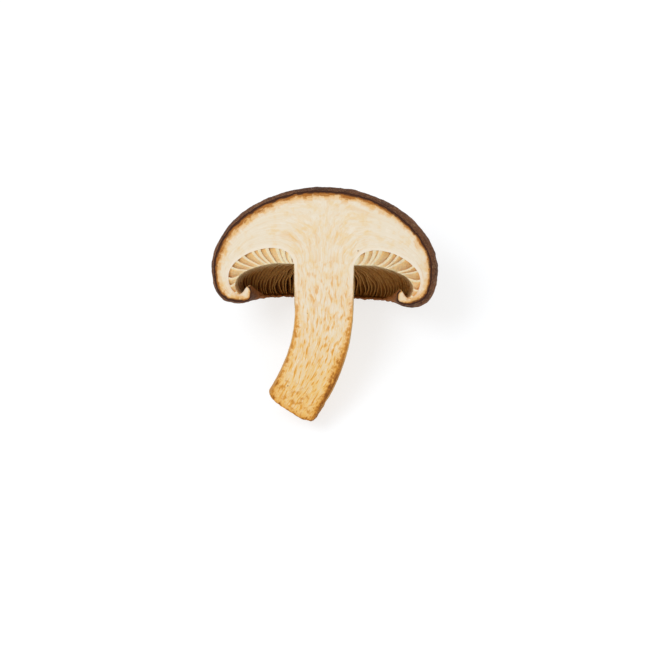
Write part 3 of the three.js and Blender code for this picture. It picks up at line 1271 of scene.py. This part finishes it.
        rim = faces.rim(cut_faces)
        flat = points[:, :2]
        cut = np.flatnonzero(on_cut)
        lines = {}
        for part in (Region.SKIN, Region.UNDER, Region.STEM):
            lines[part] = self.dense(flat, rim[region[rim] == part.value])
        skin_gap, nearest = nearest_on(lines[Region.SKIN], flat[cut])
        rim_down = surface.at(np.insert(lines[Region.SKIN], 2, 0.0, axis=1))["cap_down"]
        outline = rim_down[nearest] * np.sign(lines[Region.SKIN][nearest, 0])
        edge_to_lip = np.max(rim_down) - rim_down[nearest]
        inner = np.concatenate([lines[Region.UNDER], lines[Region.STEM]])
        bed_gap, _ = nearest_on(inner, flat[cut])
        axis = self.stem.line(self.past_heel)
        off_axis = flat[cut, 0] - np.interp(flat[cut, 1], axis[::-1, 1], axis[::-1, 0])
        outward = 1.0 / (1.0 / (skin_gap + 0.05) + 1.0 / (np.abs(off_axis) + 0.05))
        along = np.zeros(len(cut))
        side_gap = np.full(len(cut), 1e3)
        rightness = smoothstep(off_axis, -2.0, 2.0)
        for right, weight in ((True, rightness), (False, 1.0 - rightness)):
            distance, index = nearest_on(self.side_line(right), flat[cut])
            reach = index * 0.1
            round_corner = np.clip(reach - self.corner_at, 0.0, self.corner_length)
            along += (reach + round_corner * distance / self.cap.stem_fillet) * weight
            side_gap = np.minimum(side_gap, distance)
        flow = outward / (outward + side_gap + 0.05) * np.sign(off_axis)
        along += 0.4 * side_gap

        on_face = {"skin_gap": skin_gap, "bed_gap": bed_gap, "flow": flow, "along": along}
        on_face.update({"outline": outline, "edge_to_lip": edge_to_lip})
        for name, values in on_face.items():
            numbers[name] = np.zeros(len(points))
            numbers[name][cut] = values
        return faces, by_face, numbers

    def dense(self, flat: np.ndarray, members: np.ndarray) -> np.ndarray:
        """Fills the gaps between neighbouring outline vertices with extra samples.

        Args:
            flat: All vertices as rows of x and y.
            members: Numbers of the outline's vertices.

        Returns:
            Samples of the outline, as rows.
        """
        points = flat[members]
        samples = [points]
        squared = ((points[:, None, :] - points[None, :, :]) ** 2).sum(axis=2)
        first, second = np.nonzero((squared < 0.5**2) & (squared > 0))
        for share in (0.25, 0.5, 0.75):
            samples.append(points[first] * (1 - share) + points[second] * share)
        return np.concatenate(samples)

    def lay_out(
        self, piece: bpy.types.Object, faces: Faces, region: np.ndarray, n: dict[str, np.ndarray]
    ) -> None:
        """Lays each region out in its own rectangle of the texture.

        Args:
            piece: The halved body.
            faces: Its faces.
            region: Region of each face.
            n: Numbers measured at each vertex.
        """
        half_turn, points = Span(0.0, math.pi), coordinates(piece)
        places = {
            Region.CUT: ((Span(-28.0, 56.6), points[:, 0]), (Span(-36.0, 57.0), points[:, 1])),
            Region.SKIN: ((half_turn, n["azimuth"]), (Span(0.0, 62.0), n["cap_down"])),
            Region.UNDER: ((half_turn, n["azimuth"]), (Span(44.0, 42.0), n["cap_down"])),
            Region.STEM: ((Span(-1.8, 3.6), n["turn"]), (Span(0.0, 55.0), n["stem_down"])),
        }
        uv = np.zeros((len(faces.corners), 2))
        of_corner = region[faces.owner]
        for part, measures in places.items():
            chosen = of_corner == part.value
            across, upward = (span.share(values[faces.corners[chosen]]) for span, values in measures)
            uv[chosen] = self.layouts[part].fill(across, upward)
        layer = piece.data.uv_layers.new(name="OFBake")
        layer.data.foreach_set("uv", uv.astype(np.float32).ravel())

    def build(self, finishes: dict[Region, bpy.types.Material], place: Matrix) -> bpy.types.Object:
        """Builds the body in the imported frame.

        Args:
            finishes: Material of each region.
            place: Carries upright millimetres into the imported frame.

        Returns:
            The finished piece.
        """
        piece = self.fused()
        log.info("fused: %d faces", len(piece.data.polygons))
        surface = self.weather(piece)
        self.halve(piece)
        log.info("halved: %d faces", len(piece.data.polygons))
        faces, region, numbers = self.measure(piece, surface)
        for old in list(piece.data.uv_layers):
            piece.data.uv_layers.remove(old)
        self.lay_out(piece, faces, region, numbers)
        piece.data.materials.clear()
        for part in Region:
            piece.data.materials.append(finishes[part])
        piece.data.polygons.foreach_set("material_index", region.astype(np.int32))
        for name in self.painted:
            write_attribute(piece, name, numbers[name])
        settle(piece, place)
        return piece


def settle(piece: bpy.types.Object, place: Matrix) -> None:
    """Keeps the upright place of each vertex and lays the piece down.

    Args:
        piece: A piece in upright millimetres.
        place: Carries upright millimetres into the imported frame.
    """
    points = coordinates(piece)
    layer = piece.data.attributes.new("upright", "FLOAT_VECTOR", "POINT")
    layer.data.foreach_set("vector", points.astype(np.float32).ravel())
    piece.data.transform(place)
    piece.data.update()
    only(piece)
    bpy.ops.object.shade_smooth_by_angle(angle=math.radians(45))


# --------------------------------------------------------------------------- the gills


@dataclass
class Gills:
    """Thin plates that hang from the bed of the cap between its margin and the stem."""

    cap: CapShape = CapShape()
    near_count: int = 18
    far_count: int = 16
    near_until: float = 45.0
    thickness: float = 0.24
    near_share: float = 0.55
    root: float = 0.9
    lip_root: float = 0.12
    depth: float = 3.5
    wall_depth: float = 1.45
    slant: float = 32.0
    curl: float = 3.0
    along: int = 48
    outward: int = 7
    cells_across: int = 6
    strip: Patch = Patch(0.01, 0.74, 0.99, 0.99)
    bins: int = 60
    behind_cut: float = 0.02

    @property
    def total(self) -> int:
        """Number of gills."""
        return 2 * (self.near_count + self.far_count)

    def profile(self, azimuth: float) -> np.ndarray:
        """The root and the free edge of a gill in the section at one azimuth.

        Args:
            azimuth: Direction round the stem, in radians.

        Returns:
            Two sets of (distance from the stem's middle, height) rows, margin first.
        """
        cap = self.cap
        edge, m = cap.edge(azimuth), cap.margin(azimuth)
        flesh = cap.section(azimuth, 5, 8)
        slope = np.gradient(flesh, axis=0)
        slope /= np.linalg.norm(slope, axis=1)[:, None]
        share = np.linspace(0.0, 1.0, len(flesh))
        rooted = self.lip_root + (self.root - self.lip_root) * smoothstep(share, 0.08, 0.35)
        root = flesh + np.stack([slope[:, 1], -slope[:, 0]], axis=1) * rooted[:, None]
        low = cap.bed_rise - self.depth
        ceiling = cap.stem_radius + cap.ceiling_from_stem
        wall = edge - cap.wall_flesh - self.wall_depth
        trough = (edge - m.trough_in, -m.trough_below)
        side = (wall, -0.7 * m.trough_below)
        stem = (cap.stem_radius - 1.2, low)
        first = bezier([trough, ((wall + trough[0]) / 2, -m.trough_below), side], 16)
        second = bezier([side, (wall, low - 2.6), (wall - 3.3, low - 1.2), (ceiling, low)], 40)
        third = bezier([(ceiling, low), stem], 16)
        near = self.even(np.concatenate([first, second[1:], third[1:]]))
        far = self.even(bezier([trough, (trough[0] + 0.3, -4.0), (ceiling + 1.4, low - 1.8), stem], 60))
        behind = math.degrees(math.asin(min(1.0, math.sin(azimuth))))
        share = smoothstep(behind, 6.0, 40.0)
        return np.stack([self.even(root), near + (far - near) * share])

    def even(self, line: np.ndarray) -> np.ndarray:
        """Spreads the gill's columns evenly along a line."""
        length = arc_lengths(line)
        at = np.linspace(0.0, length[-1], self.along + 1)
        return np.stack([np.interp(at, length, line[:, i]) for i in range(2)], axis=1)

    def strayed(self, number: int) -> float:
        """How far a gill strays from even spacing, as a share of the spacing."""
        return 0.2 * math.sin(number * 12.9898) + 0.14 * math.sin(number * 4.1414)

    def plate(
        self, number: int, grid: bpy.types.Object, shares: np.ndarray, table: np.ndarray
    ) -> bpy.types.Object:
        """Copies the modelled plate and bends the copy to one gill's place.

        Args:
            number: Which gill, counted from the right.
            grid: The flat plate.
            shares: Rows of (share along from the margin, share outward) of each vertex.
            table: Profiles at evenly spaced azimuths.

        Returns:
            The bent copy.
        """
        per_side = self.near_count + self.far_count
        right = number < per_side
        place = number if right else 2 * per_side - 1 - number
        place += 0.5 + self.strayed(number)
        foot = float(np.interp(place, (0, self.near_count, per_side), (0.0, self.near_until, 90.0)))
        facing = 1.0 - float(smoothstep(foot, 35.0, 90.0))
        towards_stem, out = shares.T
        turn = foot - self.slant * facing * towards_stem
        turn += self.curl * facing * out**2.6 * smoothstep(towards_stem, 0.0, 0.45)
        far = float(smoothstep(foot, 30.0, 60.0))
        turn += (0.4 + 0.5 * far) * np.sin(towards_stem * 7.0 + number * 2.1) * out
        turn += (0.25 + 0.2 * far) * np.sin(towards_stem * 17.0 + number)
        azimuth = np.radians(turn if right else 180.0 - turn)
        column = np.rint(towards_stem * self.along).astype(int)
        at = np.clip(azimuth / math.pi * self.bins, 0.0, self.bins - 1e-6)
        low = at.astype(int)
        part = (at - low)[:, None]
        root = table[low, 0, column] * (1 - part) + table[low + 1, 0, column] * part
        free = table[low, 1, column] * (1 - part) + table[low + 1, 1, column] * part
        flat = root + (free - root) * out[:, None]
        x, z = flat[:, 0] * np.cos(azimuth), -flat[:, 0] * np.sin(azimuth)
        points = self.cap.lean(np.stack([x, flat[:, 1], z], axis=1))
        copy = grid.copy()
        copy.data = grid.data.copy()
        bpy.context.collection.objects.link(copy)
        move_to(copy, points)
        write_attribute(copy, "reach", towards_stem)
        write_attribute(copy, "out", out)
        write_attribute(copy, "number", np.full(len(shares), float(number)))
        thick = copy.vertex_groups.new(name="thick")
        thick.add(list(range(len(shares))), self.near_share + (1 - self.near_share) * far, "REPLACE")
        return copy

    def plates(self) -> bpy.types.Object:
        """All the gills as thin sheets in one object."""
        deselect_all()
        bpy.ops.mesh.primitive_grid_add(x_subdivisions=self.along, y_subdivisions=self.outward, size=2.0)
        grid = bpy.context.object
        shares = (coordinates(grid)[:, :2] + 1) / 2
        table = np.stack([self.profile(k * math.pi / self.bins) for k in range(self.bins + 1)])
        copies = [self.plate(number, grid, shares, table) for number in range(self.total)]
        only(grid)
        bpy.ops.object.delete()
        only(copies[0])
        for copy in copies:
            copy.select_set(True)
        bpy.ops.object.join()
        whole = bpy.context.object
        whole.name = "mushroom_gills"
        return whole

    def thicken(self, piece: bpy.types.Object) -> None:
        """Gives the sheets their thickness and cuts them where the mushroom is cut."""
        only(piece)
        solid = piece.modifiers.new("thickness", "SOLIDIFY")
        solid.thickness = self.thickness
        solid.offset = 0.0
        solid.vertex_group = "thick"
        solid.material_offset = 1
        bpy.ops.object.modifier_apply(modifier=solid.name)
        bpy.ops.object.mode_set(mode="EDIT")
        bpy.ops.mesh.select_all(action="SELECT")
        behind = (0.0, 0.0, -self.behind_cut)
        bpy.ops.mesh.bisect(plane_co=behind, plane_no=(0.0, 0.0, 1.0), use_fill=True, clear_outer=True)
        bpy.ops.mesh.select_all(action="SELECT")
        bpy.ops.mesh.normals_make_consistent(inside=False)
        bpy.ops.object.mode_set(mode="OBJECT")

    def lay_out(self, piece: bpy.types.Object) -> None:
        """Gives each side of each gill its own cell of the texture, and the cut edges a strip."""
        mesh = piece.data
        faces = Faces(piece)
        points = coordinates(piece)
        values = {}
        for name in ("reach", "out", "number"):
            values[name] = np.empty(len(points), np.float32)
            mesh.attributes[name].data.foreach_get("value", values[name])
        side = np.empty(len(mesh.polygons), np.int32)
        mesh.polygons.foreach_get("material_index", side)
        cut = faces.all_of(np.abs(points[:, 2] + self.behind_cut) < 1e-4)[faces.owner]
        corner = faces.corners
        number = np.rint(values["number"][corner]).astype(int)
        rows = math.ceil(self.total / self.cells_across)
        wide, high = 0.49 / self.cells_across, 0.72 / rows
        u = (number % self.cells_across + 0.04 + 0.92 * values["reach"][corner]) * wide
        u += 0.5 * (side[faces.owner] > 0)
        v = (number // self.cells_across + 0.06 + 0.88 * values["out"][corner]) * high
        across, upward = Span(-28.0, 56.0).share(points[:, 0]), Span(-9.0, 15.0).share(points[:, 1])
        strip = self.strip.fill(across, upward)
        uv = np.where(cut[:, None], strip[corner], np.stack([u, v], axis=1))
        for old in list(mesh.uv_layers):
            mesh.uv_layers.remove(old)
        mesh.uv_layers.new(name="OFBake").data.foreach_set("uv", uv.astype(np.float32).ravel())
        mesh.polygons.foreach_set("material_index", np.zeros(len(mesh.polygons), np.int32))

    def build(self, finish: bpy.types.Material, place: Matrix) -> bpy.types.Object:
        """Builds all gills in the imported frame.

        Args:
            finish: Their material.
            place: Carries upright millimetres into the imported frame.

        Returns:
            The finished piece.
        """
        piece = self.plates()
        piece.data.materials.append(finish)
        piece.data.materials.append(finish)
        self.thicken(piece)
        self.lay_out(piece)
        piece.data.materials.clear()
        piece.data.materials.append(finish)
        settle(piece, place)
        return piece


# --------------------------------------------------------------------------- studio


@dataclass
class Studio:
    """A plain pale floor, soft light from the upper left and the camera."""

    floor_side: float = 6.0
    azimuth: float = 4.0
    elevation: float = 67.0
    lens: float = 150.0
    field: float = 0.1540
    drop: float = 0.0053
    floor_colour: tuple[float, float, float, float] = (0.30, 0.34, 0.39, 1.0)
    floor_tint: tuple[float, float, float, float] = (1.0, 0.965, 0.925, 1.0)
    floor_glow: float = 0.73
    sky: float = 0.70

    def floor(self) -> None:
        """Lays the floor just under the object."""
        deselect_all()
        bpy.ops.mesh.primitive_plane_add(size=self.floor_side, location=(0.0, 0.0, CAD_BOX[0][2] - 0.00005))
        plane = bpy.context.object
        plane.name = "floor"
        g = Graph("floor")
        plane.data.materials.append(g.finish(self.floor_colour, 0.9))
        g.shader.inputs["Emission Color"].default_value = self.floor_tint
        g.shader.inputs["Emission Strength"].default_value = self.floor_glow

    def lamp(
        self, name: str, place: Vector, size: float, power: float, colour: tuple[float, float, float]
    ) -> None:
        """Hangs one square light that points at the object.

        Args:
            name: Name of the light.
            place: Where it hangs.
            size: Side of its square, in metres.
            power: Its power in watts.
            colour: Its colour.
        """
        bpy.ops.object.light_add(type="AREA", location=place)
        light = bpy.context.object
        light.name = name
        light.data.size = size
        light.data.energy = power
        light.data.color = colour
        light.rotation_euler = (-place).to_track_quat("-Z", "Y").to_euler()

    def lights(self) -> None:
        """Adds the sky and the lamps."""
        world = bpy.data.worlds.new("sky")
        bpy.context.scene.world = world
        world.use_nodes = True
        world.node_tree.nodes["Background"].inputs["Color"].default_value = (1.0, 1.0, 1.0, 1.0)
        world.node_tree.nodes["Background"].inputs["Strength"].default_value = self.sky
        self.lamp("key", Vector((-0.50, -0.02, 0.95)), 0.5, 5.0, (1.0, 0.985, 0.96))

    def camera(self, up: Vector) -> None:
        """Places the camera.

        Args:
            up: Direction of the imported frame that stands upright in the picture.
        """
        az, el = math.radians(self.azimuth), math.radians(self.elevation)
        out = Vector((math.sin(az) * math.cos(el), -math.cos(az) * math.cos(el), math.sin(el)))
        right = up.cross(out).normalized()
        upright = out.cross(right).normalized()
        low, high = (Vector(corner) for corner in CAD_BOX)
        target = (low + high) / 2 - upright * self.drop
        turn = Matrix((right, upright, out)).transposed().to_4x4()
        bpy.ops.object.camera_add()
        camera = bpy.context.object
        camera.data.lens = self.lens
        distance = self.field * self.lens / camera.data.sensor_width
        camera.matrix_world = Matrix.Translation(target + out * distance) @ turn
        bpy.context.scene.camera = camera

    def build(self, up: Vector) -> None:
        """Builds floor, lights and camera, and shows colours as they are."""
        self.floor()
        self.lights()
        self.camera(up)
        bpy.context.scene.view_settings.view_transform = "Standard"


def main() -> None:
    """Builds the mushroom piece by piece, then the studio."""
    logging.basicConfig(level=logging.INFO, format="%(message)s")
    place = Placement().matrix()
    finishes = {
        Region.CUT: CutFlesh().material(),
        Region.SKIN: CapSkin().material(),
        # The bed takes the gills' finish, with its painted shade at the roots and behind the cut.
        Region.UNDER: Gilled().material("gill_bed"),
        Region.STEM: StemSkin().material(),
    }
    body = HalfBody().build(finishes, place)
    log.info("body: %d faces", len(body.data.polygons))
    gills = Gills().build(Gilled().material(), place)
    log.info("gills: %d faces", len(gills.data.polygons))
    for piece in (body, gills):
        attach(piece, BODY)
        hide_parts(NODE)
    Studio().build((place.to_3x3() @ Vector((0.0, 1.0, 0.0))).normalized())


if __name__ == "__main__":
    main()
